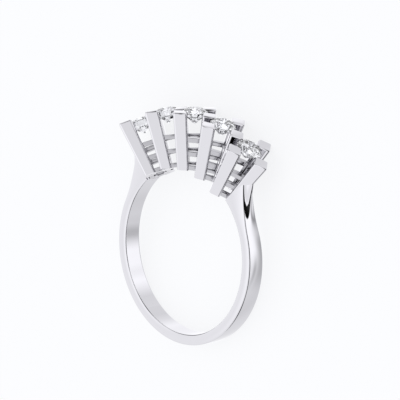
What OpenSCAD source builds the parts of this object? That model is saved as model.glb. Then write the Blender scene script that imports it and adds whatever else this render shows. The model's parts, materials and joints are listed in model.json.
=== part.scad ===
// Five-stone ring: a slim band with hollow-curved shoulders, a setting of square
// posts and rails, and five round brilliant-cut stones. All sizes in millimetres.
//
// The ring is worked out in its own axes: X runs along the row of stones, Y from
// the palm to the middle stone, and Z along the finger hole. Each stone stands in
// a square basket turned by 45 degrees, with a post in front, one behind, and one
// on each side that it shares with its neighbour. The finished ring is then laid
// on its back, the way it rests by itself on a table, with the origin on the
// table under its middle.

/* [Band] */
// Diameter of the finger hole
bore_d = 17; // [16.6:0.1:17.4]
// Thickness of the band at the palm
band_t = 1.08; // [0.9:0.02:1.3]
// Width of the band at the palm
palm_w = 2.1; // [1.8:0.05:2.4]
// Width of the band where it meets the setting
shoulder_w = 1.65; // [1.4:0.05:1.7]
// Height of the shoulders over the finger hole, where they meet the setting
shoulder_h = 3.2; // [2.4:0.1:3.6]
// Radius of the hollow curve of the shoulders
shoulder_curve = 16; // [12:1:24]

/* [Setting] */
// Angle round the finger from one stone to the next
stone_pitch = 16.8; // [16.4:0.1:17.2]
// Height of the posts over the finger hole
post_h = 5.9; // [5.4:0.1:6.4]
// Side of a post at its foot
post_foot = 1.14; // [1:0.02:1.3]
// Side of a post at its top
post_top = 1.38; // [1.2:0.02:1.5]
// Width of the bevel along a post's four edges
post_bevel = 0.3; // [0.1:0.02:0.36]
// Distance from the front row of posts to the back row, at their feet
rows_foot = 2.6; // [2.4:0.1:2.8]
// Distance from the front row of posts to the back row, at their tops
rows_top = 4.1; // [4:0.1:4.3]

/* [Rails] */
// Number of rails round each basket, one above the other
rail_levels = 3; // [2:3]
// Height of a rail
rail_h = 0.48; // [0.4:0.02:0.6]
// Thickness of a rail
rail_t = 0.5; // [0.4:0.05:0.6]
// Height from one rail to the next
rail_step = 1.44; // [1.3:0.02:1.5]

/* [Stones] */
// Number of stones
stone_count = 5; // [5:5]
// Diameter of a stone
stone_d = 2.65; // [2.6:0.05:2.8]
// Table's diameter as a share of the stone's
table_share = 0.57; // [0.53:0.01:0.62]
// Angle of the crown's main facets
crown_angle = 34.5; // [33:0.5:36]
// Angle of the pavilion's main facets
pavilion_angle = 41; // [40:0.5:42]
// Thickness of the girdle
girdle_t = 0.08; // [0.06:0.01:0.12]
// Depth of the girdle's middle under the tops of the posts
girdle_drop = 0.25; // [0.2:0.05:0.35]
// Gap between a stone and its seat in the posts
seat_gap = 0.03; // [0.02:0.01:0.05]

/* [Hidden] */

metal = [0.86, 0.86, 0.88];
stone_white = [0.93, 0.96, 1.0];

bore_r = bore_d / 2;
band_r = bore_r + band_t;
shoulder_r = bore_r + shoulder_h;
post_r = bore_r + post_h;

half = (stone_count - 1) / 2;
end_angle = (half + 0.5) * stone_pitch;
row_lean = atan((rows_top - rows_foot) / 2 / post_h);

// Width of a post across two opposite bevels, at its foot and at its top
across_foot = post_foot * sqrt(2) - post_bevel;
across_top = post_top * sqrt(2) - post_bevel;

stone_r = stone_d / 2;
table_r = table_share * stone_r;
girdle_r = post_r - girdle_drop;
crown_h = (stone_r - table_r) * tan(crown_angle);
pavilion_h = stone_r * tan(pavilion_angle);

// Resting on its back, the ring touches with the backs of its two end back
// posts, at their tops, and with the back edge of the palm
widening = (across_top - across_foot) / 2 / post_h;
rest_along = (post_h + across_foot / 2 * sin(row_lean)) / (cos(row_lean) - widening * sin(row_lean));
rest_head_y = post_r * cos(half * stone_pitch) - post_bevel / 2 * sin(half * stone_pitch);
rest_head_z = rows_foot / 2 + rest_along * sin(row_lean)
    + (across_foot / 2 + widening * rest_along) * cos(row_lean);
rest_tilt = atan((rest_head_z - palm_w / 2) / (rest_head_y + band_r));
rest_lift = rest_head_z * cos(rest_tilt) - rest_head_y * sin(rest_tilt);

// How far the finger hole's middle lies from the middle of the ring's length
reach_to_palm = band_r * cos(rest_tilt) + palm_w / 2 * sin(rest_tilt);
reach_to_head = post_r * cos(rest_tilt) + rest_head_z * sin(rest_tilt);
rest_shift = (reach_to_head - reach_to_palm) / 2;

// Sizes past the part, for cutting shapes
over = 4;
$fn = 96;

function row_half(r) = (rows_foot + (rows_top - rows_foot) * (r - bore_r) / post_h) / 2;

module laid_down() {
    translate([0, -rest_shift, rest_lift]) rotate([rest_tilt, 0, 0]) children();
}

// Turns what is built on +Y round the finger, clockwise seen from the front
module round_finger(angle) {
    rotate([0, 0, -angle]) children();
}

// The band seen from the front. A shoulder's curve leaves the round smoothly, and
// its centre lies outside the ring.
module band_outline() {
    far = band_r + shoulder_curve;
    touch = end_angle
        + acos((far ^ 2 + shoulder_r ^ 2 - shoulder_curve ^ 2) / (2 * far * shoulder_r));
    difference() {
        union() {
            circle(r = band_r);
            for (side = [-1, 1]) {
                curve_centre = far * [side * sin(touch), cos(touch)];
                difference() {
                    polygon([[0, 0], curve_centre, shoulder_r * [side * sin(end_angle), cos(end_angle)]]);
                    translate(curve_centre) circle(r = shoulder_curve);
                }
            }
        }
        circle(r = bore_r);
        polygon([
            [0, 0],
            2 * post_r * [-sin(end_angle), cos(end_angle)],
            2 * post_r * [sin(end_angle), cos(end_angle)]
        ]);
    }
}

// Keeps the band narrower at the setting than at the palm
module band_wedge() {
    top_y = shoulder_r * cos(end_angle);
    rotate([90, 0, 90])
        linear_extrude(height = 2 * shoulder_r, center = true)
            polygon([
                [-band_r, -palm_w / 2], [top_y, -shoulder_w / 2],
                [top_y, shoulder_w / 2], [-band_r, palm_w / 2]
            ]);
}

module band() {
    intersection() {
        linear_extrude(height = palm_w + over, center = true) band_outline();
        band_wedge();
    }
}

// A slab along Y that widens evenly from its width at a post's foot to its
// width at a post's top, and on past both
module widening_slab(foot, top) {
    slope = (top - foot) / 2 / post_h;
    low = foot / 2 - slope * over;
    high = top / 2 + slope * over;
    linear_extrude(height = over, center = true)
        polygon([
            [-low, bore_r - over], [low, bore_r - over],
            [high, post_r + over], [-high, post_r + over]
        ]);
}

// A square bar along Y, turned by 45 degrees, with its four edges beveled
module widening_bar() {
    intersection_for (turn = [0, 90])
        intersection() {
            rotate([0, turn + 45, 0]) widening_slab(post_foot, post_top);
            rotate([0, turn, 0]) widening_slab(across_foot, across_top);
        }
}

// One post, cut at its top. row is 1 in front, 0 in the middle, -1 behind, and
// top_turn is the angle between the cut and a level one.
module post(row, top_turn = 0) {
    foot_z = row * rows_foot / 2;
    under = post_h + 1;
    intersection() {
        translate([0, bore_r, foot_z])
            rotate([row * row_lean, 0, 0])
                translate([0, -bore_r, 0]) widening_bar();
        translate([0, post_r, 0]) rotate([0, 0, top_turn])
            translate([-over, -under, -over]) cube([2 * over, under, 2 * over]);
    }
}

// The tops of the two end side posts are level with the end stones
module posts() {
    for (i = [-half : half])
        for (row = [-1, 1])
            round_finger(i * stone_pitch) post(row);
    for (i = [-half + 0.5 : half - 0.5])
        round_finger(i * stone_pitch) post(0);
    for (side = [-1, 1])
        round_finger(side * end_angle) post(0, side * stone_pitch / 2);
}

// One straight rail from a front or back post to the side post next to it
module rail(row, side, r) {
    quarter = stone_pitch / 4;
    run = 2 * r * sin(quarter);
    rise = row_half(r);
    round_finger(side * quarter)
        translate([0, r * cos(quarter), row * rise / 2])
            rotate([0, row * side * atan2(rise, run), 0])
                cube([norm([run, rise]), rail_h, rail_t], center = true);
}

module rails() {
    for (i = [-half : half])
        for (level = [0 : rail_levels - 1])
            for (row = [-1, 1])
                for (side = [-1, 1])
                    round_finger(i * stone_pitch)
                        rail(row, side, bore_r + rail_h / 2 + level * rail_step);
}

// What the posts lose to hold one stone, open to above
module seat() {
    r = stone_r + seat_gap;
    rise = girdle_t / 2 + seat_gap;
    rotate([-90, 0, 0]) rotate_extrude()
        polygon([
            [0, -rise - r * tan(pavilion_angle)], [r, -rise], [r, rise],
            [table_r, rise + (r - table_r) * tan(crown_angle)],
            [table_r, over], [0, over]
        ]);
}

module band_and_setting() {
    color(metal) laid_down() difference() {
        union() {
            band();
            posts();
            rails();
        }
        cylinder(r = bore_r, h = 4 * over, center = true);
        for (i = [-half : half])
            round_finger(i * stone_pitch) translate([0, girdle_r, 0]) seat();
    }
}

// Round brilliant with its axis on Z and the middle of its girdle at Z = 0:
// a table, 8 star, 8 main and 16 upper girdle facets, a 16-sided girdle, and
// 16 lower girdle and 8 main facets down to a point
module brilliant() {
    n = 8;
    step = 360 / n;
    half_step = step / 2;
    star_share = 0.5;
    lower_share = 0.77;
    top_z = girdle_t / 2 + crown_h;
    point_z = -girdle_t / 2 - pavilion_h;
    star_r = table_r * cos(half_step) + star_share * (stone_r - table_r * cos(half_step));
    star_z = top_z - (star_r * cos(half_step) - table_r) * tan(crown_angle);
    lower_r = (1 - lower_share) * stone_r;
    lower_z = point_z + lower_r * cos(half_step) * tan(pavilion_angle);

    table = [for (i = [0 : n - 1]) [table_r * cos(i * step), table_r * sin(i * step), top_z]];
    stars = [for (i = [0 : n - 1])
        [star_r * cos((i + 0.5) * step), star_r * sin((i + 0.5) * step), star_z]];
    lowers = [for (i = [0 : n - 1])
        [lower_r * cos((i + 0.5) * step), lower_r * sin((i + 0.5) * step), lower_z]];
    girdle = [for (z = [girdle_t / 2, -girdle_t / 2], j = [0 : 2 * n - 1])
        [stone_r * cos(j * half_step), stone_r * sin(j * half_step), z]];

    // Where each ring of points starts in the list
    star_0 = n;
    lower_0 = 2 * n;
    upper_girdle_0 = 3 * n;
    lower_girdle_0 = 5 * n;
    tip = 7 * n;

    function next(i) = (i + 1) % n;
    function upper(j) = upper_girdle_0 + j % (2 * n);
    function under(j) = lower_girdle_0 + j % (2 * n);

    polyhedron(
        points = concat(table, stars, lowers, girdle, [[0, 0, point_z]]),
        faces = concat(
            [[for (i = [n - 1 : -1 : 0]) i]],
            [for (i = [0 : n - 1]) [i, next(i), star_0 + i]],
            [for (i = [0 : n - 1]) [next(i), star_0 + next(i), upper(2 * i + 2), star_0 + i]],
            [for (i = [0 : n - 1]) [star_0 + i, upper(2 * i + 1), upper(2 * i)]],
            [for (i = [0 : n - 1]) [star_0 + i, upper(2 * i + 2), upper(2 * i + 1)]],
            [for (j = [0 : 2 * n - 1]) [upper(j), upper(j + 1), under(j + 1), under(j)]],
            [for (i = [0 : n - 1]) [lower_0 + i, under(2 * i), under(2 * i + 1)]],
            [for (i = [0 : n - 1]) [lower_0 + i, under(2 * i + 1), under(2 * i + 2)]],
            [for (i = [0 : n - 1]) [lower_0 + i, under(2 * i + 2), lower_0 + next(i), tip]]
        )
    );
}

// Stones are numbered from the left, seen from the front
module diamond(number) {
    color(stone_white) laid_down()
        round_finger((number - 1 - half) * stone_pitch)
            translate([0, girdle_r, 0]) rotate([-90, 0, 0]) brilliant();
}

band_and_setting();
diamond(1);  // diamond_1
diamond(2);  // diamond_2
diamond(3);  // diamond_3
diamond(4);  // diamond_4
diamond(5);  // diamond_5
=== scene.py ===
"""A five-stone ring: its band, its setting of square posts and rails, and its cut stones.

The pieces are modelled in the ring's own axes, in metres: X runs along the row of
stones, Y from the palm to the middle stone, and Z along the finger hole. Each finished
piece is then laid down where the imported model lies, on its back.
"""

import json
import math

import bmesh
import bpy
from bpy.props import FloatProperty, FloatVectorProperty, IntProperty, PointerProperty
from mathutils import Matrix, Vector


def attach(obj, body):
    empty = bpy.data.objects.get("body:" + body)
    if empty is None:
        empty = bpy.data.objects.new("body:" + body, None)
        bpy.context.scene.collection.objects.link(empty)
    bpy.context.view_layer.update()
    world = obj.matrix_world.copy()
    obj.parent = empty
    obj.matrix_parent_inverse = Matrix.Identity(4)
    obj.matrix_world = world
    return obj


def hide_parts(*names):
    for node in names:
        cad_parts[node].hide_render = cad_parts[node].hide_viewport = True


bl_info = {
    "name": "Five-stone ring",
    "version": (1, 0, 0),
    "blender": (4, 5, 0),
    "location": "View3D > Sidebar > Ring",
    "description": "Models the band, the setting and the finish of a five-stone ring",
    "category": "Object",
}

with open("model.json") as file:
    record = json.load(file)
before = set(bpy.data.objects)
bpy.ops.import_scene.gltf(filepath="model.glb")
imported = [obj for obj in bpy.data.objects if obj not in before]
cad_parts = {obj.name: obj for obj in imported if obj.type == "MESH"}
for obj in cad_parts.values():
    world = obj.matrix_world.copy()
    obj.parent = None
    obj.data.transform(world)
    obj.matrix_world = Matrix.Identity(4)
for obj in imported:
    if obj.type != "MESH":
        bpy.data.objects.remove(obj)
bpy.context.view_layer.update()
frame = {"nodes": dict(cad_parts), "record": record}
FINGER_HOLE = frame["record"]["mounts"][0]

MM = 0.001
METAL_NODE = "band_and_setting"
STONE_NODES = sorted(name for name in frame["nodes"] if name.startswith("diamond"))
STONE_COUNT = len(STONE_NODES)

# Steps of the row from the middle stone to an end one
HALF_ROW = (STONE_COUNT - 1) / 2

HOLE_R = FINGER_HOLE["dims"]["r_mm"] * MM
HOLE_AXIS = Vector(FINGER_HOLE["axis"]).normalized()
LAID_DOWN = (
    Matrix.Translation(FINGER_HOLE["pos_m"])
    @ Vector((0, 0, 1)).rotation_difference(HOLE_AXIS).to_matrix().to_4x4()
)

# Places that are closer than this count as one
NEAR = 0.01 * MM

# Sides of the round shapes, and steps across the rounded edges
HOLE_SIDES = 512
SEAT_SIDES = 96
FLOOR_SIDES = 128
EDGE_STEPS = 4
POST_EDGE_STEPS = 5


def length(name, description, millimetres):
    """A length that a user may change, given in millimetres."""
    return FloatProperty(
        name=name,
        description=description,
        default=millimetres * MM,
        min=0,
        precision=5,
        unit="LENGTH",
    )


def angle(name, description, degrees):
    """An angle that a user may change, given in degrees."""
    return FloatProperty(
        name=name,
        description=description,
        default=math.radians(degrees),
        precision=3,
        unit="ROTATION",
    )


def share(name, description, default):
    """A share from 0 to 1."""
    return FloatProperty(
        name=name, description=description, default=default, min=0, max=1, subtype="FACTOR"
    )


def amount(name, description, default):
    """A plain number."""
    return FloatProperty(name=name, description=description, default=default, min=0)


def count(name, description, default):
    """A whole number of things."""
    return IntProperty(name=name, description=description, default=default, min=1)


def colour(name, description, default):
    """A colour in linear light."""
    return FloatVectorProperty(
        name=name, description=description, default=default, subtype="COLOR", min=0, max=1
    )


class RingBand(bpy.types.PropertyGroup):
    """Sizes of the band."""

    thickness: length("Thickness", "Thickness of the band at the palm", 1.08)
    palm_width: length("Palm width", "Width of the band at the palm", 2.1)
    shoulder_width: length("Shoulder width", "Width of the band at the setting", 1.65)
    shoulder_height: length("Shoulder height", "Height of the shoulders over the hole", 3.2)
    shoulder_curve: length("Shoulder curve", "Radius of the hollow of the shoulders", 16)
    lean: angle("Lean", "Lean of the shoulders' front and back faces", 3.7)
    lean_start: angle("Lean start", "Angle from the middle stone where the lean ends", 72)
    lean_full: angle("Lean full", "Angle from the middle stone where the lean is whole", 58)
    dome: length("Dome", "Height of the dome across the outer surface", 0.05)
    ridge: length("Ridge", "Height of the shoulders' ridge where it meets the end posts", 1.2)
    ridge_full: angle("Ridge full", "Angle from the middle stone where the ridge is whole", 44.3)
    ridge_end: angle("Ridge end", "Angle from the middle stone where the ridge ends", 66.9)
    ridge_fade: amount("Ridge fade", "Power that the ridge dies away with", 2.6)
    ridge_width: share("Ridge width", "Width of the ridge as a share of the band's", 0.8)
    edge: length("Edge", "Width of the rounding of the outer edges", 0.17)
    inner_edge: length("Inner edge", "Width of the rounding of the inner edges", 0.15)
    columns: count("Columns", "Strips that the band's width is cut into", 12)
    coarse: count("Coarse stations", "Lengths that the band is first cut into", 60)
    fine: count("Fine stations", "Lengths that each of those is cut into", 4)


class RingSetting(bpy.types.PropertyGroup):
    """Sizes of the posts and the rails."""

    pitch: angle("Pitch", "Angle round the finger from one stone to the next", 16.8)
    post_height: length("Post height", "Height of the posts over the hole", 5.9)
    post_foot: length("Post foot", "Side of a post at its foot", 1.14)
    post_top: length("Post top", "Side of a post at its top", 1.38)
    post_edge: length("Post edge", "Width of the rounding along a post's edges", 0.3)
    rows_foot: length("Rows at the feet", "Distance from the front to the back row", 2.6)
    rows_top: length("Rows at the tops", "Distance from the front to the back row", 4.1)
    top_edge: length("Top edge", "Width of the rounding round the posts' tops", 0.2)
    soft_edge: length("Soft edge", "Width of the rounding of the rails' edges", 0.04)
    rail_height: length("Rail height", "Height of a rail", 0.48)
    rail_thickness: length("Rail thickness", "Thickness of a rail", 0.5)
    rail_step: length("Rail step", "Height from one rail to the next", 1.44)
    rail_levels: count("Rail levels", "Rails one above the other", 3)
    girdle_drop: length("Girdle drop", "Depth of the girdles under the post tops", 0.25)
    seat_gap: length("Seat gap", "Gap between a stone and its seat", 0.03)


class RingStones(bpy.types.PropertyGroup):
    """Sizes of the stones that the posts' seats are cut for."""

    diameter: length("Diameter", "Diameter of a stone", 2.65)
    table_share: share("Table", "Table's diameter as a share of the stone's", 0.57)
    crown_angle: angle("Crown angle", "Angle of the crown's main facets", 34.5)
    pavilion_angle: angle("Pavilion angle", "Angle of the pavilion's main facets", 41)
    girdle: length("Girdle", "Thickness of the girdle", 0.08)


class RingFinish(bpy.types.PropertyGroup):
    """Colours and polish."""

    metal: colour("Metal", "Colour of the white gold", (0.64, 0.636, 0.656))
    polish: share("Polish", "Roughness of the polished metal", 0.015)
    haze: share("Haze", "How much rougher the metal is where it was worn", 0.03)
    # Inside is the rails' darker colour, painted shade for the shade that falls between the posts and
    # rails; its roughness below is a real duller polish
    inside: colour("Inside", "Colour of the metal where polishing reaches less", (0.47, 0.467, 0.485))
    inside_polish: share("Inside polish", "Roughness of the metal there", 0.1)
    mark_size: length("Mark size", "Size of the fine polishing marks", 0.12)
    mark_depth: length("Mark depth", "Depth of the fine polishing marks", 0.01)
    stone: colour("Stone", "Colour of the stones", (0.99, 0.995, 1.0))
    stone_cloud: colour("Stone cloud", "Colour of the faint cloud in them", (0.96, 0.975, 1.0))
    stone_ior: amount("Refraction", "Refractive index of the stones", 2.417)


class RingStage(bpy.types.PropertyGroup):
    """The camera, the floor and the light."""

    azimuth: angle("Azimuth", "Camera's angle round the ring", 102.558)
    elevation: angle("Elevation", "Camera's height over the horizon", 44.169)
    roll: angle("Roll", "Camera's turn round its own line of sight", 92.755)
    distance: length("Distance", "From the camera to the point that it looks at", 239.88)
    aim: FloatVectorProperty(
        name="Aim",
        description="Point that the camera looks at",
        default=(-0.000166, 0.002605, 0.000891),
        precision=6,
        unit="LENGTH",
    )
    lens: length("Lens", "Focal length of the lens", 213.75)
    sensor: length("Sensor", "Width of the camera's sensor", 36)
    floor_radius: length("Floor radius", "Radius of the round floor", 900)
    floor: colour("Floor", "Colour of the floor", (0.13, 0.132, 0.134))
    glow: amount("Floor glow", "Light that the floor gives off by itself", 0.85)
    glow_colour: colour("Glow colour", "Colour of that light", (0.98, 0.985, 1.0))
    light: amount("Light", "Brightness of the light all round", 1.22)
    light_colour: colour("Light colour", "Colour of the light all round", (0.975, 0.975, 1.0))


def select_only(piece):
    """Select one piece alone and make it the active one."""
    bpy.ops.object.select_all(action="DESELECT")
    piece.select_set(True)
    bpy.context.view_layer.objects.active = piece


def start_shaping(piece):
    """Open a piece in edit mode with nothing selected."""
    select_only(piece)
    bpy.ops.object.mode_set(mode="EDIT")
    bpy.ops.mesh.select_all(action="DESELECT")


def stop_shaping():
    """Leave edit mode."""
    bpy.ops.object.mode_set(mode="OBJECT")


def check_picked(piece, parts):
    """Stop with an error if nothing was picked, because nothing would then be shaped."""
    if not any(part.select for part in parts):
        raise RuntimeError(f"found nothing to shape on {piece.name}")


def pick_points(piece, test):
    """In edit mode, select the points whose place passes the test, and no others."""
    mesh = bmesh.from_edit_mesh(piece.data)
    for point in mesh.verts:
        point.select = test(point.co)
    check_picked(piece, mesh.verts)
    mesh.select_mode = {"VERT"}
    mesh.select_flush_mode()
    bmesh.update_edit_mesh(piece.data)


def pick_edges(piece, test):
    """In edit mode, select the edges that pass a test of their two ends."""
    bpy.ops.mesh.select_mode(type="EDGE")
    bpy.ops.mesh.select_all(action="DESELECT")
    mesh = bmesh.from_edit_mesh(piece.data)
    mesh.select_mode = {"EDGE"}
    for edge in mesh.edges:
        edge.select = test(edge.verts[0].co, edge.verts[1].co)
    check_picked(piece, mesh.edges)
    mesh.select_flush_mode()
    bmesh.update_edit_mesh(piece.data)


def pick_faces(piece, test):
    """In edit mode, select the faces whose normal passes the test."""
    bpy.ops.mesh.select_mode(type="FACE")
    mesh = bmesh.from_edit_mesh(piece.data)
    mesh.select_mode = {"FACE"}
    for face in mesh.faces:
        face.select = test(face.normal)
    check_picked(piece, mesh.faces)
    bmesh.update_edit_mesh(piece.data)


def settle(piece):
    """Put a piece's place and turn into its mesh, so its object sits at the origin."""
    select_only(piece)
    bpy.ops.object.transform_apply(location=True, rotation=True, scale=True)


def place(piece, matrix):
    """Move a piece by a matrix and put that into its mesh."""
    piece.matrix_world = matrix @ piece.matrix_world
    settle(piece)


def copy_of(piece, name):
    """A copy of a piece with its own mesh."""
    twin = piece.copy()
    twin.data = piece.data.copy()
    twin.name = name
    bpy.context.collection.objects.link(twin)
    return twin


def joined(pieces, name):
    """Join several pieces into one."""
    bpy.ops.object.select_all(action="DESELECT")
    for piece in pieces:
        piece.select_set(True)
    bpy.context.view_layer.objects.active = pieces[0]
    bpy.ops.object.join()
    pieces[0].name = name
    return pieces[0]


def remove(piece):
    """Delete a helper piece and its mesh."""
    mesh = piece.data
    bpy.data.objects.remove(piece)
    bpy.data.meshes.remove(mesh)


def cut_away(piece, cutter):
    """Cut one piece's shape out of another."""
    select_only(piece)
    cut = piece.modifiers.new("Cut", "BOOLEAN")
    cut.operation = "DIFFERENCE"
    cut.solver = "EXACT"
    cut.object = cutter
    bpy.ops.object.modifier_apply(modifier=cut.name)


def soften_edges(piece, width, sharper_than=50):
    """Round the edges that are sharper than a number of degrees, as polishing does."""
    start_shaping(piece)
    bpy.ops.mesh.select_mode(type="EDGE")
    bpy.ops.mesh.edges_select_sharp(sharpness=math.radians(sharper_than))
    bpy.ops.mesh.bevel(offset=width, segments=EDGE_STEPS, profile=0.5, affect="EDGES")
    stop_shaping()


def polish_smooth(piece, limit=30):
    """Smooth the faces that meet at less than a limit in degrees."""
    select_only(piece)
    bpy.ops.object.shade_smooth_by_angle(angle=math.radians(limit))


def keep_flats_flat(piece):
    """Let the rounded edges run smoothly into flat faces that stay flat mirrors."""
    select_only(piece)
    weighted = piece.modifiers.new("Flats", "WEIGHTED_NORMAL")
    weighted.keep_sharp = True
    bpy.ops.object.modifier_apply(modifier=weighted.name)


def round_finger(turn):
    """Turn what is built on +Y round the finger, clockwise seen from the front."""
    return Matrix.Rotation(-turn, 4, "Z")


def finish_metal(piece, metal):
    """Put one metal on a piece, lay it down, hang it on the root body, and hide the CAD node that it
    stands for.
    """
    piece.data.materials.clear()
    piece.data.materials.append(metal)
    place(piece, LAID_DOWN)
    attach(piece, "root")
    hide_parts(METAL_NODE)


def new_material(name):
    """An empty node-based material with an output and a Principled shader."""
    material = bpy.data.materials.new(name)
    material.use_nodes = True
    nodes = material.node_tree.nodes
    nodes.clear()
    output = nodes.new("ShaderNodeOutputMaterial")
    shader = nodes.new("ShaderNodeBsdfPrincipled")
    material.node_tree.links.new(shader.outputs["BSDF"], output.inputs["Surface"])
    return material, shader


# Patches of haze to a metre, and how the marks are drawn out and turned
HAZE_SCALE = 900
MARK_STRETCH = (1, 0.12, 0.6)
MARK_TURN = (0.3, 0.2, 0.5)


def polishing_marks():
    """Node group: a fine haze and hair-thin marks that polishing leaves."""
    name = "Polishing marks"
    if name in bpy.data.node_groups:
        return bpy.data.node_groups[name]
    group = bpy.data.node_groups.new(name, "ShaderNodeTree")
    sockets = group.interface
    for title, kind in (("Vector", "NodeSocketVector"), ("Scale", "NodeSocketFloat")):
        sockets.new_socket(name=title, in_out="INPUT", socket_type=kind)
    for title in ("Haze", "Marks"):
        sockets.new_socket(name=title, in_out="OUTPUT", socket_type="NodeSocketFloat")
    nodes, links = group.nodes, group.links
    entry = nodes.new("NodeGroupInput")
    leave = nodes.new("NodeGroupOutput")

    haze = nodes.new("ShaderNodeTexNoise")
    haze.inputs["Scale"].default_value = HAZE_SCALE
    haze.inputs["Detail"].default_value = 4
    links.new(entry.outputs["Vector"], haze.inputs["Vector"])
    links.new(haze.outputs["Fac"], leave.inputs["Haze"])

    stretch = nodes.new("ShaderNodeMapping")
    stretch.inputs["Scale"].default_value = MARK_STRETCH
    stretch.inputs["Rotation"].default_value = MARK_TURN
    marks = nodes.new("ShaderNodeTexNoise")
    marks.inputs["Detail"].default_value = 2
    links.new(entry.outputs["Vector"], stretch.inputs["Vector"])
    links.new(stretch.outputs["Vector"], marks.inputs["Vector"])
    links.new(entry.outputs["Scale"], marks.inputs["Scale"])
    links.new(marks.outputs["Fac"], leave.inputs["Marks"])
    return group


def white_gold(name, tone, polish):
    """White metal of one polish, with a faint haze and fine marks."""
    if name in bpy.data.materials:
        return bpy.data.materials[name]
    finish = bpy.context.scene.ring_finish
    material, shader = new_material(name)
    nodes, links = material.node_tree.nodes, material.node_tree.links
    place_on_piece = nodes.new("ShaderNodeTexCoord")
    marks = nodes.new("ShaderNodeGroup")
    marks.node_tree = polishing_marks()
    marks.inputs["Scale"].default_value = 1 / finish.mark_size
    links.new(place_on_piece.outputs["Object"], marks.inputs["Vector"])

    rough = nodes.new("ShaderNodeMapRange")
    rough.inputs["From Min"].default_value = 0.35
    rough.inputs["From Max"].default_value = 0.75
    rough.inputs["To Min"].default_value = polish
    rough.inputs["To Max"].default_value = polish + finish.haze
    links.new(marks.outputs["Haze"], rough.inputs["Value"])
    links.new(rough.outputs["Result"], shader.inputs["Roughness"])

    bump = nodes.new("ShaderNodeBump")
    bump.inputs["Strength"].default_value = 0.02
    bump.inputs["Distance"].default_value = finish.mark_depth
    links.new(marks.outputs["Marks"], bump.inputs["Height"])
    links.new(bump.outputs["Normal"], shader.inputs["Normal"])

    shader.inputs["Base Color"].default_value = (*tone, 1)
    shader.inputs["Metallic"].default_value = 1
    return material


def polished_metal():
    """The mirror-polished metal of the band and the posts."""
    finish = bpy.context.scene.ring_finish
    return white_gold("Polished white gold", finish.metal, finish.polish)


def duller_metal_painted_shade():
    """The duller metal of the rails, rougher where polishing reaches less, with a darker colour that
    is painted shade standing in for the shade between the posts and rails.
    """
    finish = bpy.context.scene.ring_finish
    return white_gold("White gold inside", finish.inside, finish.inside_polish)


# Patches of the stones' cloud to a metre
CLOUD_SCALE = 1500


def cut_diamond():
    """Clear polished diamond, with the faintest cloud inside its colour."""
    name = "Cut diamond"
    if name in bpy.data.materials:
        return bpy.data.materials[name]
    finish = bpy.context.scene.ring_finish
    material, shader = new_material(name)
    nodes, links = material.node_tree.nodes, material.node_tree.links
    place_on_piece = nodes.new("ShaderNodeTexCoord")
    cloud = nodes.new("ShaderNodeTexNoise")
    cloud.inputs["Scale"].default_value = CLOUD_SCALE
    links.new(place_on_piece.outputs["Object"], cloud.inputs["Vector"])
    tint = nodes.new("ShaderNodeMix")
    tint.data_type = "RGBA"
    tint.inputs["A"].default_value = (*finish.stone, 1)
    tint.inputs["B"].default_value = (*finish.stone_cloud, 1)
    links.new(cloud.outputs["Fac"], tint.inputs["Factor"])
    links.new(tint.outputs["Result"], shader.inputs["Base Color"])
    shader.inputs["Roughness"].default_value = 0
    shader.inputs["IOR"].default_value = finish.stone_ior
    shader.inputs["Transmission Weight"].default_value = 1
    return material


def smooth_step(value, low, high):
    """0 up to low, 1 from high on, and a smooth way between."""
    part = min(max((value - low) / (high - low), 0), 1)
    return part * part * (3 - 2 * part)


def shoulder_rise(turn, band, end_turn):
    """How much thicker the band is at an angle from the middle stone than at the palm."""
    band_r = HOLE_R + band.thickness
    shoulder_r = HOLE_R + band.shoulder_height
    far = band_r + band.shoulder_curve
    reach = (far**2 + shoulder_r**2 - band.shoulder_curve**2) / (2 * far * shoulder_r)
    off = end_turn + math.acos(reach) - turn
    if off <= 0:
        return 0.0
    hollow = math.sqrt(band.shoulder_curve**2 - (far * math.sin(off)) ** 2)
    return far * math.cos(off) - hollow - band_r


def band_width(y, band, end_turn):
    """Width of the band at a place between the palm and the setting."""
    palm_y = -HOLE_R - band.thickness
    setting_y = (HOLE_R + band.shoulder_height) * math.cos(end_turn)
    part = (y - palm_y) / (setting_y - palm_y)
    return band.palm_width - (band.palm_width - band.shoulder_width) * part**2


def ridge_rise(turn, across, band):
    """Height of the shoulders' ridge, at a share of the half width from its middle."""
    fade = (band.ridge_end - turn) / (band.ridge_end - band.ridge_full)
    profile = max(1 - (across / band.ridge_width) ** 2, 0) ** 2
    return band.ridge * min(fade, 1) ** band.ridge_fade * profile


def column_places(band):
    """Places across the band, as shares of its half width from the middle."""
    return [2 * column / band.columns - 1 for column in range(1, band.columns)]


def straight_strip(band, along):
    """The straight strip that the band is bent from, on X, with its outer side on -Y."""
    middle_y = -band.thickness / 2
    bpy.ops.mesh.primitive_cube_add(size=1)
    piece = bpy.context.object
    piece.name = "band"
    start_shaping(piece)
    bpy.ops.mesh.select_all(action="SELECT")
    bpy.ops.transform.resize(value=(along, band.thickness, band.palm_width))
    bpy.ops.transform.translate(value=(0, middle_y, 0))

    # Columns across the width, domed on the outer side
    pick_edges(piece, lambda a, b: abs(a.z - b.z) > band.palm_width / 2)
    bpy.ops.mesh.subdivide(number_cuts=band.columns - 1)
    for across in column_places(band):
        z = across * band.palm_width / 2
        pick_points(piece, lambda p: abs(p.z - z) < NEAR and p.y < middle_y)
        bpy.ops.transform.translate(value=(0, -band.dome * (1 - across**2), 0))

    # Rounded long edges
    edge_z = band.palm_width / 2 - NEAR
    for low, high, width in (
        (-2 * band.thickness, middle_y, band.edge),
        (middle_y, band.thickness, band.inner_edge),
    ):
        pick_edges(
            piece,
            lambda a, b: abs(a.x - b.x) > along / 2 and abs(a.z) > edge_z and low < a.y < high,
        )
        bpy.ops.mesh.bevel(offset=width, segments=EDGE_STEPS, profile=0.5, affect="EDGES")
    stop_shaping()
    return piece


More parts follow.
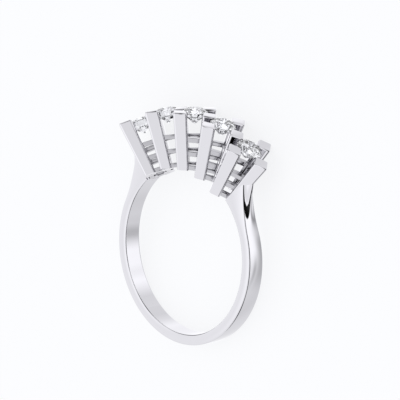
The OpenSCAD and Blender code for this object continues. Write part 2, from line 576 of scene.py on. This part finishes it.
def raise_ridge(piece, band, turn, at_station):
    """Raise the ridge on the strip's outer side at one station."""
    for across in column_places(band):
        z = across * band.palm_width / 2
        pick_points(
            piece,
            lambda p: at_station(p) and abs(p.z - z) < NEAR and p.y < -band.thickness / 2,
        )
        bpy.ops.transform.translate(value=(0, -ridge_rise(turn, across, band), 0))


def raise_station(piece, band, x, turn, end_turn, at_station):
    """Raise the strip's outer side at one station, and set both sides' widths there."""
    middle_y = -band.thickness / 2
    rise = shoulder_rise(turn, band, end_turn)
    outer_y = (HOLE_R + band.thickness + rise) * math.cos(turn)
    inner_width = band_width(HOLE_R * math.cos(turn), band, end_turn)
    outer_width = band_width(outer_y, band, end_turn)
    lean = band.lean * (1 - smooth_step(turn, band.lean_full, band.lean_start))
    outer_width -= 2 * math.tan(lean) * (band.thickness + rise)
    pick_points(piece, lambda p: at_station(p) and p.y < middle_y)
    bpy.ops.transform.translate(value=(0, -rise, 0))
    bpy.ops.transform.resize(
        value=(1, 1, outer_width / band.palm_width), center_override=(x, 0, 0)
    )
    pick_points(piece, lambda p: at_station(p) and p.y >= middle_y)
    bpy.ops.transform.resize(
        value=(1, 1, inner_width / band.palm_width), center_override=(x, 0, 0)
    )


def shape_shoulders(piece, band, along, end_turn):
    """Cut the strip into stations, and raise and narrow them towards the setting."""
    stations = band.coarse * band.fine
    step = along / stations
    start_shaping(piece)
    for lengths in (band.coarse, band.fine):
        pick_edges(piece, lambda a, b: abs(a.x - b.x) > step / 2)
        bpy.ops.mesh.subdivide(number_cuts=lengths - 1)
    for station in range(stations + 1):
        x = station * step - along / 2
        turn = math.pi - abs(x) / HOLE_R

        def at_station(point):
            return abs(point.x - x) < step / 4

        if turn < band.ridge_end:
            raise_ridge(piece, band, turn, at_station)
        raise_station(piece, band, x, turn, end_turn, at_station)
    stop_shaping()


def bend_round_finger(piece, sweep):
    """Bend the strip round the finger hole, with its middle at the palm."""
    select_only(piece)
    bend = piece.modifiers.new("Bend", "SIMPLE_DEFORM")
    bend.deform_method = "BEND"
    bend.deform_axis = "Z"
    bend.angle = sweep
    bpy.ops.object.modifier_apply(modifier=bend.name)
    place(piece, Matrix.Translation((0, -HOLE_R, 0)))
    start_shaping(piece)
    bpy.ops.mesh.select_all(action="SELECT")
    bpy.ops.mesh.normals_make_consistent(inside=False)
    stop_shaping()


class RING_OT_band(bpy.types.Operator):
    """Model the band with its hollow-curved shoulders"""

    bl_idname = "ring.band"
    bl_label = "Band"

    def execute(self, context):
        band = context.scene.ring_band
        end_turn = (HALF_ROW + 0.5) * context.scene.ring_setting.pitch
        sweep = 2 * (math.pi - end_turn)
        along = sweep * HOLE_R
        piece = straight_strip(band, along)
        shape_shoulders(piece, band, along, end_turn)
        bend_round_finger(piece, sweep)
        polish_smooth(piece, limit=35)
        finish_metal(piece, polished_metal())
        return {"FINISHED"}


def post_blank(setting):
    """A square post on +Z from the finger hole up, thicker at its top, with rounded edges."""
    # More than is needed at both ends, to be cut off
    spare = 1.5 * MM
    tall = setting.post_height + 2 * spare
    slope = (setting.post_top - setting.post_foot) / setting.post_height
    low = setting.post_foot - slope * spare
    high = setting.post_top + slope * spare
    bpy.ops.mesh.primitive_cube_add(size=1)
    piece = bpy.context.object
    piece.name = "post_blank"
    start_shaping(piece)
    bpy.ops.mesh.select_all(action="SELECT")
    bpy.ops.transform.resize(value=(low, low, tall))
    bpy.ops.transform.translate(value=(0, 0, setting.post_height / 2))
    pick_faces(piece, lambda normal: normal.z > 0.5)
    bpy.ops.transform.resize(value=(high / low, high / low, 1))
    pick_edges(piece, lambda a, b: abs(a.z - b.z) > tall / 2)
    bpy.ops.mesh.bevel(
        offset=setting.post_edge / math.sqrt(2),
        segments=POST_EDGE_STEPS,
        profile=0.5,
        affect="EDGES",
    )
    stop_shaping()
    return piece


def post_in_row(blank, row, top_turn, setting):
    """One post on +Y: row is 1 in front, 0 in the middle and -1 behind.

    Its top faces +Y, turned to -X by an angle.
    """
    lean = math.atan((setting.rows_top - setting.rows_foot) / 2 / setting.post_height)
    piece = copy_of(blank, "post_in_row")
    up_along_y = Matrix.Rotation(math.radians(-90), 4, "X")
    place(
        piece,
        Matrix.Translation((0, HOLE_R, row * setting.rows_foot / 2))
        @ Matrix.Rotation(row * lean, 4, "X")
        @ up_along_y
        @ Matrix.Rotation(math.radians(45), 4, "Z"),
    )
    start_shaping(piece)
    bpy.ops.mesh.select_all(action="SELECT")
    bpy.ops.mesh.bisect(
        plane_co=(0, HOLE_R + setting.post_height, 0),
        plane_no=(-math.sin(top_turn), math.cos(top_turn), 0),
        use_fill=True,
        clear_outer=True,
    )
    stop_shaping()
    soften_edges(piece, setting.top_edge)
    return piece


def finger_hole_cutter():
    """A long round bar as thick as the finger hole."""
    bar_length = 20 * MM
    bpy.ops.mesh.primitive_cylinder_add(vertices=HOLE_SIDES, radius=HOLE_R, depth=bar_length)
    piece = bpy.context.object
    piece.name = "finger_hole_cutter"
    return piece


def seat_cutter(setting, stones):
    """What a stone takes out of its posts, open to above, with its axis on +Y."""
    r = stones.diameter / 2 + setting.seat_gap
    rise = stones.girdle / 2 + setting.seat_gap
    table_r = stones.table_share * stones.diameter / 2
    crown = (r - table_r) * math.tan(stones.crown_angle)
    depth = r * math.tan(stones.pavilion_angle)
    above = 3 * MM
    point_share = 0.01
    bpy.ops.mesh.primitive_cylinder_add(vertices=SEAT_SIDES, radius=r, depth=2 * rise)
    piece = bpy.context.object
    piece.name = "seat_cutter"
    start_shaping(piece)
    pick_faces(piece, lambda normal: normal.z > 0.5)
    bpy.ops.mesh.extrude_region_move(TRANSFORM_OT_translate={"value": (0, 0, crown)})
    bpy.ops.transform.resize(value=(table_r / r, table_r / r, 1))
    bpy.ops.mesh.extrude_region_move(TRANSFORM_OT_translate={"value": (0, 0, above)})
    pick_faces(piece, lambda normal: normal.z < -0.5)
    bpy.ops.mesh.extrude_region_move(TRANSFORM_OT_translate={"value": (0, 0, -depth)})
    bpy.ops.transform.resize(value=(point_share, point_share, 1))
    stop_shaping()
    place(
        piece,
        Matrix.Translation((0, HOLE_R + setting.post_height - setting.girdle_drop, 0))
        @ Matrix.Rotation(math.radians(-90), 4, "X"),
    )
    return piece


def cut_seats(post, seat, step, stone_steps, pitch):
    """Cut the seats of the stones that stand next to a post, while it is still on +Y."""
    for stone_step in stone_steps:
        if abs(stone_step - step) < 1:
            cutter = copy_of(seat, "one_seat")
            place(cutter, round_finger((stone_step - step) * pitch))
            cut_away(post, cutter)
            remove(cutter)


class RING_OT_posts(bpy.types.Operator):
    """Model the posts, cut at the finger hole and for the stones"""

    bl_idname = "ring.posts"
    bl_label = "Posts"

    def execute(self, context):
        setting = context.scene.ring_setting
        hole = finger_hole_cutter()
        seat = seat_cutter(setting, context.scene.ring_stones)
        blank = post_blank(setting)

        # Places in the row, in steps of the pitch from the middle stone
        stone_steps = [number - HALF_ROW for number in range(STONE_COUNT)]
        side_steps = [number - HALF_ROW - 0.5 for number in range(STONE_COUNT + 1)]
        for title, row, steps in (
            ("front_post", 1, stone_steps),
            ("back_post", -1, stone_steps),
            ("side_post", 0, side_steps),
        ):
            for number, step in enumerate(steps, 1):
                beyond = math.copysign(1, step) if abs(step) > HALF_ROW else 0
                post = post_in_row(blank, row, beyond * setting.pitch / 2, setting)
                post.name = f"{title}_{number}"
                cut_away(post, hole)
                cut_seats(post, seat, step, stone_steps, setting.pitch)
                place(post, round_finger(step * setting.pitch))
                polish_smooth(post)
                keep_flats_flat(post)
                finish_metal(post, polished_metal())
        for helper in (hole, seat, blank):
            remove(helper)
        return {"FINISHED"}


def straight_rail(setting, reach):
    """One straight rail on X with softened edges."""
    bpy.ops.mesh.primitive_cube_add(size=1)
    rail = bpy.context.object
    start_shaping(rail)
    bpy.ops.mesh.select_all(action="SELECT")
    bpy.ops.transform.resize(value=(reach, setting.rail_height, setting.rail_thickness))
    stop_shaping()
    soften_edges(rail, setting.soft_edge)
    return rail


def level_of_rails(setting, turn, level, hole):
    """The four rails of one basket at one level. The lowest are cut at the finger hole."""
    quarter = setting.pitch / 4
    widening = (setting.rows_top - setting.rows_foot) / setting.post_height
    r = HOLE_R + setting.rail_height / 2 + level * setting.rail_step
    run = 2 * r * math.sin(quarter)
    rise = (setting.rows_foot + widening * (r - HOLE_R)) / 2
    rails = []
    for row in (-1, 1):
        for side in (-1, 1):
            rail = straight_rail(setting, math.hypot(run, rise))
            place(
                rail,
                round_finger(turn + side * quarter)
                @ Matrix.Translation((0, r * math.cos(quarter), row * rise / 2))
                @ Matrix.Rotation(row * side * math.atan2(rise, run), 4, "Y"),
            )
            if level == 0:
                cut_away(rail, hole)
            rails.append(rail)
    return rails


class RING_OT_rails(bpy.types.Operator):
    """Model the straight rails round each basket"""

    bl_idname = "ring.rails"
    bl_label = "Rails"

    def execute(self, context):
        setting = context.scene.ring_setting
        hole = finger_hole_cutter()
        for number in range(STONE_COUNT):
            turn = (number - HALF_ROW) * setting.pitch
            rails = []
            for level in range(setting.rail_levels):
                rails += level_of_rails(setting, turn, level, hole)
            piece = joined(rails, f"rails_{number + 1}")
            polish_smooth(piece)
            keep_flats_flat(piece)
            # The rails take the duller metal whose darker colour is painted shade between the posts
            finish_metal(piece, duller_metal_painted_shade())
        remove(hole)
        return {"FINISHED"}


class RING_OT_stones(bpy.types.Operator):
    """Finish the five cut stones"""

    bl_idname = "ring.stones"
    bl_label = "Stones"

    def execute(self, context):
        for name in STONE_NODES:
            for slot in frame["nodes"][name].material_slots:
                slot.material = cut_diamond()
        return {"FINISHED"}


# Brightness of the studio round the row of stones. The first column is the angle: 0 is
# straight up over the lying ring, 90 level with it on the right and 180 straight down.
# The other columns are the tones at seven heights, from the palm's side to the stones'.
# A tone that is HALFWAY lies in the middle between those on either side of it.
HALFWAY = None
STUDIO_HEIGHTS = (-62, -35, -15, 5, 20, 35, 62)
STUDIO_TONES = (
    # Up the left side
    (-180, 0.84, 0.84, 0.84, 0.84, HALFWAY, 0.86, 0.85),
    (-163, 0.84, 0.84, 0.86, 0.88, HALFWAY, 0.83, 0.85),
    (-152, 0.84, 0.84, 0.90, 0.94, HALFWAY, 0.97, 0.85),
    (-142, 0.88, 0.88, 0.94, 1.00, HALFWAY, 1.15, 0.85),
    (-130, 0.90, 0.90, 0.96, 1.02, HALFWAY, 1.08, 0.85),
    (-116, 0.90, 0.90, 0.92, 1.05, HALFWAY, 1.05, 0.85),
    (-96, 0.92, 0.92, 0.96, 1.05, HALFWAY, 0.95, 0.85),
    # A gap on the left
    (-88, 0.94, 0.94, 0.98, 1.05, 0.05, 0.05, 0.85),
    (-66, 0.96, 0.96, 1.02, 1.05, 0.05, 0.05, 0.85),
    # Over the ring, with a gap at the greatest height
    (-57, 0.98, 0.98, 1.02, 1.10, HALFWAY, 1.00, 0.85),
    (-50, 1.00, 1.00, 1.02, 1.02, HALFWAY, 1.00, 0.85),
    (-45, 1.00, 1.00, 1.00, 0.98, HALFWAY, 1.00, 0.85),
    (-39, 1.00, 1.00, 1.08, 1.10, HALFWAY, 1.00, 0.85),
    (-35, 1.00, 1.00, 1.14, 1.18, HALFWAY, 1.00, 0.85),
    (-15, 1.00, 1.00, 1.20, 1.28, HALFWAY, 0.95, 0.60),
    (10, 1.00, 1.00, 1.14, 1.22, HALFWAY, 0.90, 0.02),
    (24, 1.00, 1.00, 1.00, 0.96, HALFWAY, 0.88, 0.01),
    (41, 1.00, 1.00, 0.98, 0.94, HALFWAY, 0.88, 0.01),
    # A narrow gap that reaches up to that one
    (43, 0.90, 1.00, 0.98, 0.94, 0.25, 0.00, 0.00),
    (49, 0.10, 1.00, 0.98, 0.94, 0.25, 0.00, 0.00),
    (51, 0.10, 1.00, 1.00, 0.97, 0.91, 0.88, 0.01),
    (56, 0.05, 1.00, 1.12, 1.18, HALFWAY, 0.88, 0.05),
    (64, 0.05, 1.00, 1.20, 1.25, HALFWAY, 0.86, 0.85),
    # The wide gap on the right
    (67, 0.05, 0.20, 0.05, 0.01, 0.95, 0.80, 0.85),
    (72, 0.05, 0.20, 0.05, 0.01, 0.85, 0.80, 0.85),
    (77, 0.05, 0.20, 0.05, 0.01, 0.01, 0.80, 0.85),
    (113, 0.05, 0.15, 0.05, 0.00, 0.01, 0.80, 0.85),
    # Down the right side
    (116, 0.05, 0.84, 1.00, 1.30, HALFWAY, 1.25, 0.85),
    (129, 0.05, 0.84, 0.98, 1.26, HALFWAY, 1.30, 0.85),
    (132, 0.30, 0.84, 0.60, 1.20, HALFWAY, 1.30, 0.85),
    (134, 0.50, 0.84, 0.60, 1.12, HALFWAY, 1.30, 0.85),
    (136, 0.70, 0.84, 0.78, 0.92, HALFWAY, 1.28, 0.85),
    (141, 0.83, 0.83, 0.58, 0.55, HALFWAY, 1.26, 0.85),
    (149, 0.80, 0.80, 0.55, 0.36, HALFWAY, 1.10, 0.85),
    (160, 0.78, 0.78, 0.68, 0.60, HALFWAY, 0.86, 0.85),
    (180, 0.84, 0.84, 0.84, 0.84, HALFWAY, 0.92, 0.85),
)


def tones_at_height(column, light):
    """The brightness at each angle, from one column of the table."""
    tones = []
    for row in STUDIO_TONES:
        tone = row[column]
        if tone is HALFWAY:
            tone = (row[column - 1] + row[column + 1]) / 2
        tones.append(tone * light)
    return tones


def tones_by_angle(tree, around, angles, tones):
    """The tones of one height, read off at an angle in radians."""
    part = tree.nodes.new("ShaderNodeMapRange")
    part.inputs["From Min"].default_value = math.radians(angles[0])
    part.inputs["From Max"].default_value = math.radians(angles[-1])
    curve = tree.nodes.new("ShaderNodeFloatCurve")
    curve.mapping.use_clip = False
    points = curve.mapping.curves[0].points

    # New points start in a corner, and then all are placed
    while len(points) < len(angles):
        points.new(1, 1)
    for point, here, tone in zip(points, angles, tones):
        point.location = ((here - angles[0]) / (angles[-1] - angles[0]), tone)
        point.handle_type = "VECTOR"
    curve.mapping.update()
    tree.links.new(around, part.inputs["Value"])
    tree.links.new(part.outputs["Result"], curve.inputs["Value"])
    return curve.outputs["Value"]


def blend_by_height(tree, height, low, high, first, second):
    """Go smoothly from one output to another between two heights in degrees."""
    part = tree.nodes.new("ShaderNodeMapRange")
    part.interpolation_type = "SMOOTHSTEP"
    part.inputs["From Min"].default_value = math.radians(low)
    part.inputs["From Max"].default_value = math.radians(high)
    mix = tree.nodes.new("ShaderNodeMix")
    tree.links.new(height, part.inputs["Value"])
    tree.links.new(part.outputs["Result"], mix.inputs["Factor"])
    tree.links.new(first, mix.inputs["A"])
    tree.links.new(second, mix.inputs["B"])
    return mix.outputs["Result"]


def ring_angles(tree):
    """A direction's angle round the row of stones and its height, both in radians."""
    nodes, links = tree.nodes, tree.links
    direction = nodes.new("ShaderNodeTexCoord")
    turned = nodes.new("ShaderNodeMapping")
    turned.inputs["Rotation"].default_value = LAID_DOWN.inverted().to_euler()
    split = nodes.new("ShaderNodeSeparateXYZ")
    links.new(direction.outputs["Generated"], turned.inputs["Vector"])
    links.new(turned.outputs["Vector"], split.inputs["Vector"])
    around = nodes.new("ShaderNodeMath")
    around.operation = "ARCTAN2"
    links.new(split.outputs["X"], around.inputs[0])
    links.new(split.outputs["Z"], around.inputs[1])
    height = nodes.new("ShaderNodeMath")
    height.operation = "ARCSINE"
    links.new(split.outputs["Y"], height.inputs[0])
    return around.outputs["Value"], height.outputs["Value"]


def studio_world(stage):
    """Soft white light all round, with darker gaps that the polished metal mirrors."""
    world = bpy.data.worlds.new("Studio")
    world.use_nodes = True
    tree = world.node_tree
    tree.nodes.clear()
    output = tree.nodes.new("ShaderNodeOutputWorld")
    background = tree.nodes.new("ShaderNodeBackground")
    background.inputs["Color"].default_value = (*stage.light_colour, 1)
    tree.links.new(background.outputs["Background"], output.inputs["Surface"])

    around, height = ring_angles(tree)
    angles = [row[0] for row in STUDIO_TONES]
    tones = [
        tones_by_angle(tree, around, angles, tones_at_height(column, stage.light))
        for column in range(1, len(STUDIO_HEIGHTS) + 1)
    ]
    blended = tones[0]
    for low, high, tone in zip(STUDIO_HEIGHTS, STUDIO_HEIGHTS[1:], tones[1:]):
        blended = blend_by_height(tree, height, low, high, blended, tone)
    tree.links.new(blended, background.inputs["Strength"])
    bpy.context.scene.world = world


def pale_floor(stage):
    """A plain round floor."""
    bpy.ops.mesh.primitive_circle_add(
        vertices=FLOOR_SIDES, radius=stage.floor_radius, fill_type="NGON", location=(0, 0, 0)
    )
    floor = bpy.context.object
    floor.name = "floor"
    material, shader = new_material("Pale floor")
    shader.inputs["Base Color"].default_value = (*stage.floor, 1)
    shader.inputs["Roughness"].default_value = 0.9
    shader.inputs["Specular IOR Level"].default_value = 0
    shader.inputs["Emission Color"].default_value = (*stage.glow_colour, 1)
    shader.inputs["Emission Strength"].default_value = stage.glow
    floor.data.materials.append(material)
    floor.visible_glossy = False
    floor.visible_transmission = False


def studio_camera(stage):
    """The camera, at its angles round the ring and its own roll."""
    data = bpy.data.cameras.new("Camera")
    data.lens = stage.lens / MM
    data.sensor_width = stage.sensor / MM
    data.clip_start = 10 * MM
    data.clip_end = 5
    camera = bpy.data.objects.new("Camera", data)
    bpy.context.collection.objects.link(camera)
    back = Vector(
        (
            math.sin(stage.azimuth) * math.cos(stage.elevation),
            -math.cos(stage.azimuth) * math.cos(stage.elevation),
            math.sin(stage.elevation),
        )
    )
    level = back.to_track_quat("Z", "Y").to_matrix().to_4x4()
    camera.matrix_world = (
        Matrix.Translation(Vector(stage.aim) + back * stage.distance)
        @ level
        @ Matrix.Rotation(-stage.roll, 4, "Z")
    )
    bpy.context.scene.camera = camera


class RING_OT_stage(bpy.types.Operator):
    """Set up the camera, the floor and the light"""

    bl_idname = "ring.stage"
    bl_label = "Stage"

    def execute(self, context):
        stage = context.scene.ring_stage
        bpy.ops.object.select_all(action="DESELECT")
        studio_camera(stage)
        pale_floor(stage)
        studio_world(stage)
        context.scene.view_settings.view_transform = "Standard"
        return {"FINISHED"}


OPERATORS = (RING_OT_band, RING_OT_posts, RING_OT_rails, RING_OT_stones, RING_OT_stage)
SETTINGS = {
    "ring_band": RingBand,
    "ring_setting": RingSetting,
    "ring_stones": RingStones,
    "ring_finish": RingFinish,
    "ring_stage": RingStage,
}


class RING_PT_panel(bpy.types.Panel):
    """Lists the ring's pieces and their sizes"""

    bl_idname = "RING_PT_panel"
    bl_label = "Five-stone ring"
    bl_space_type = "VIEW_3D"
    bl_region_type = "UI"
    bl_category = "Ring"

    def draw(self, context):
        for operator in OPERATORS:
            self.layout.operator(operator.bl_idname)
        for title in SETTINGS:
            box = self.layout.box()
            settings = getattr(context.scene, title)
            for name in settings.__annotations__:
                box.prop(settings, name)


def register():
    """Register the classes and hang the settings on the scene."""
    for group in SETTINGS.values():
        bpy.utils.register_class(group)
    for operator in OPERATORS:
        bpy.utils.register_class(operator)
    bpy.utils.register_class(RING_PT_panel)
    for title, group in SETTINGS.items():
        setattr(bpy.types.Scene, title, PointerProperty(type=group))


def unregister():
    """Take the settings and the classes away again."""
    for title in SETTINGS:
        delattr(bpy.types.Scene, title)
    bpy.utils.unregister_class(RING_PT_panel)
    for operator in reversed(OPERATORS):
        bpy.utils.unregister_class(operator)
    for group in SETTINGS.values():
        bpy.utils.unregister_class(group)


def main():
    """Make the ring and its stage."""
    register()
    bpy.ops.ring.band()
    bpy.ops.ring.posts()
    bpy.ops.ring.rails()
    bpy.ops.ring.stones()
    bpy.ops.ring.stage()


if __name__ == "__main__":
    main()
